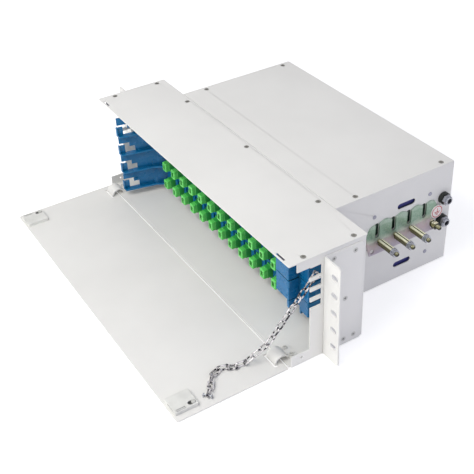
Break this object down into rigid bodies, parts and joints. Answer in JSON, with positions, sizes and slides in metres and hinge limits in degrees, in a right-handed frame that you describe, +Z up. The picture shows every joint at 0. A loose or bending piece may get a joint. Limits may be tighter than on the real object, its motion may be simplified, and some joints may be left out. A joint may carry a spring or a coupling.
{
  "type": "optical distribution frame",
  "caption": "Rack-mount fibre patch and splice box, T-shaped in plan, with drop-down front door, chain stays, pull-out trays of capped adapters and a side cable clamp.",
  "frame": {"origin": "middle of the width, on the plane where the ears bear on the rack rails, at the underside of the box", "axes": "+X to the right seen from the front, +Y to the rear, +Z up"},
  "size_m": [0.4826, 0.3935, 0.132],
  "materials": {
    "adapter_green": "moulded",
    "cap_green": "moulded",
    "chain_nickel": "bright nickel plate",
    "colour_zinc": "iridescent passivated zinc",
    "enclosure_paint": "fine texture powder coat",
    "label_white": "matt",
    "latch_dark": "matt moulded",
    "latch_white": "matt moulded",
    "plug_green": "moulded",
    "rail_grey": "matt moulded",
    "rivet_grey": "satin",
    "rubber_black": "matt",
    "screw_dark": "black zinc plate",
    "splice_grey": "matt moulded",
    "tray_blue": "satin moulded ABS",
    "yellow_zinc": "yellow passivated",
    "zinc_plate": "bright zinc plate"
  },
  "bodies": {
    "chassis": {"bottom_plate": "enclosure_paint", "cable_clamp_bands": "zinc_plate", "cable_clamp_sleeves": "rubber_black", "cable_fixing_bracket": "colour_zinc", "cable_inlet_grommets": "rubber_black", "chain_anchor_upper": "zinc_plate", "clamp_blocks": "yellow_zinc", "clamp_bolts": "yellow_zinc", "clamp_nuts": "zinc_plate", "cover_cross_rail": "enclosure_paint", "cover_screws": "screw_dark", "ear_screws": "screw_dark", "earth_marker_disc": "label_white", "earth_nuts": "yellow_zinc", "earth_stud": "yellow_zinc", "front_top_cover": "enclosure_paint", "hinge_screws": "screw_dark", "left_hinge_hook": "enclosure_paint", "left_rack_ear": "enclosure_paint", "left_rear_wall": "enclosure_paint", "left_side_plate": "enclosure_paint", "left_tray_rail": "rail_grey", "rear_panel": "enclosure_paint", "rear_top_cover": "enclosure_paint", "right_hinge_hook": "enclosure_paint", "right_rack_ear": "enclosure_paint", "right_rear_wall": "enclosure_paint", "right_side_plate": "enclosure_paint", "right_tray_rail": "rail_grey", "wall_rivets": "rivet_grey"},
    "door": {"front_door": "enclosure_paint", "left_latch_housing": "latch_white", "right_latch_housing": "latch_white", "latch_pins": "rivet_grey", "chain_lower": "chain_nickel", "chain_anchor_door": "zinc_plate"},
    "left_latch": {"left_latch_slide": "latch_dark"},
    "right_latch": {"right_latch_slide": "latch_dark"},
    "chain_top": {"chain_upper": "chain_nickel"},
    "chain_mid": {"chain_middle": "chain_nickel"},
    "tray_1": {"tray_1_adapters": "adapter_green", "tray_1_body": "tray_blue", "tray_1_dust_caps": "cap_green", "tray_1_pigtail_plugs": "plug_green", "tray_1_splice_holder": "splice_grey"},
    "tray_2": {"tray_2_adapters": "adapter_green", "tray_2_body": "tray_blue", "tray_2_dust_caps": "cap_green", "tray_2_pigtail_plugs": "plug_green", "tray_2_splice_holder": "splice_grey"},
    "tray_3": {"tray_3_adapters": "adapter_green", "tray_3_body": "tray_blue", "tray_3_dust_caps": "cap_green", "tray_3_pigtail_plugs": "plug_green", "tray_3_splice_holder": "splice_grey"},
    "tray_4": {"tray_4_adapters": "adapter_green", "tray_4_body": "tray_blue", "tray_4_dust_caps": "cap_green", "tray_4_pigtail_plugs": "plug_green", "tray_4_splice_holder": "splice_grey"}
  },
  "joints": [
    {"name": "door_hinge", "type": "hinge", "parent": "chassis", "child": "door", "pos_m": [0, -0.0445, 0.001], "axis": [1, 0, 0], "range_deg": [-90, 0]},
    {"name": "left_latch_slide", "type": "slide", "parent": "door", "child": "left_latch", "axis": [0, -1, 0], "range_m": [0, 0.0035]},
    {"name": "right_latch_slide", "type": "slide", "parent": "door", "child": "right_latch", "axis": [0, -1, 0], "range_m": [0, 0.0035]},
    {"name": "chain_top_swing", "type": "hinge", "parent": "chassis", "child": "chain_top", "pos_m": [0.209, -0.0061, 0.1043], "axis": [0.9518, -0.3068, 0], "range_deg": [0, 32.79]},
    {"name": "chain_mid_swing", "type": "hinge", "parent": "door", "child": "chain_mid", "pos_m": [0.1855, -0.079, 0.0044], "axis": [-0.8008, -0.2048, 0.5628], "range_deg": [0, 23.8]},
    {"name": "tray_1_slide", "type": "slide", "parent": "chassis", "child": "tray_1", "axis": [0, -1, 0], "range_m": [0, 0.12]},
    {"name": "tray_2_slide", "type": "slide", "parent": "chassis", "child": "tray_2", "axis": [0, -1, 0], "range_m": [0, 0.12]},
    {"name": "tray_3_slide", "type": "slide", "parent": "chassis", "child": "tray_3", "axis": [0, -1, 0], "range_m": [0, 0.12]},
    {"name": "tray_4_slide", "type": "slide", "parent": "chassis", "child": "tray_4", "axis": [0, -1, 0], "range_m": [0, 0.12]}
  ],
  "couplings": [
    {"joint": "chain_top_swing", "follows": "door_hinge", "ratio": -0.36425},
    {"joint": "chain_mid_swing", "follows": "door_hinge", "ratio": -0.26431}
  ]
}
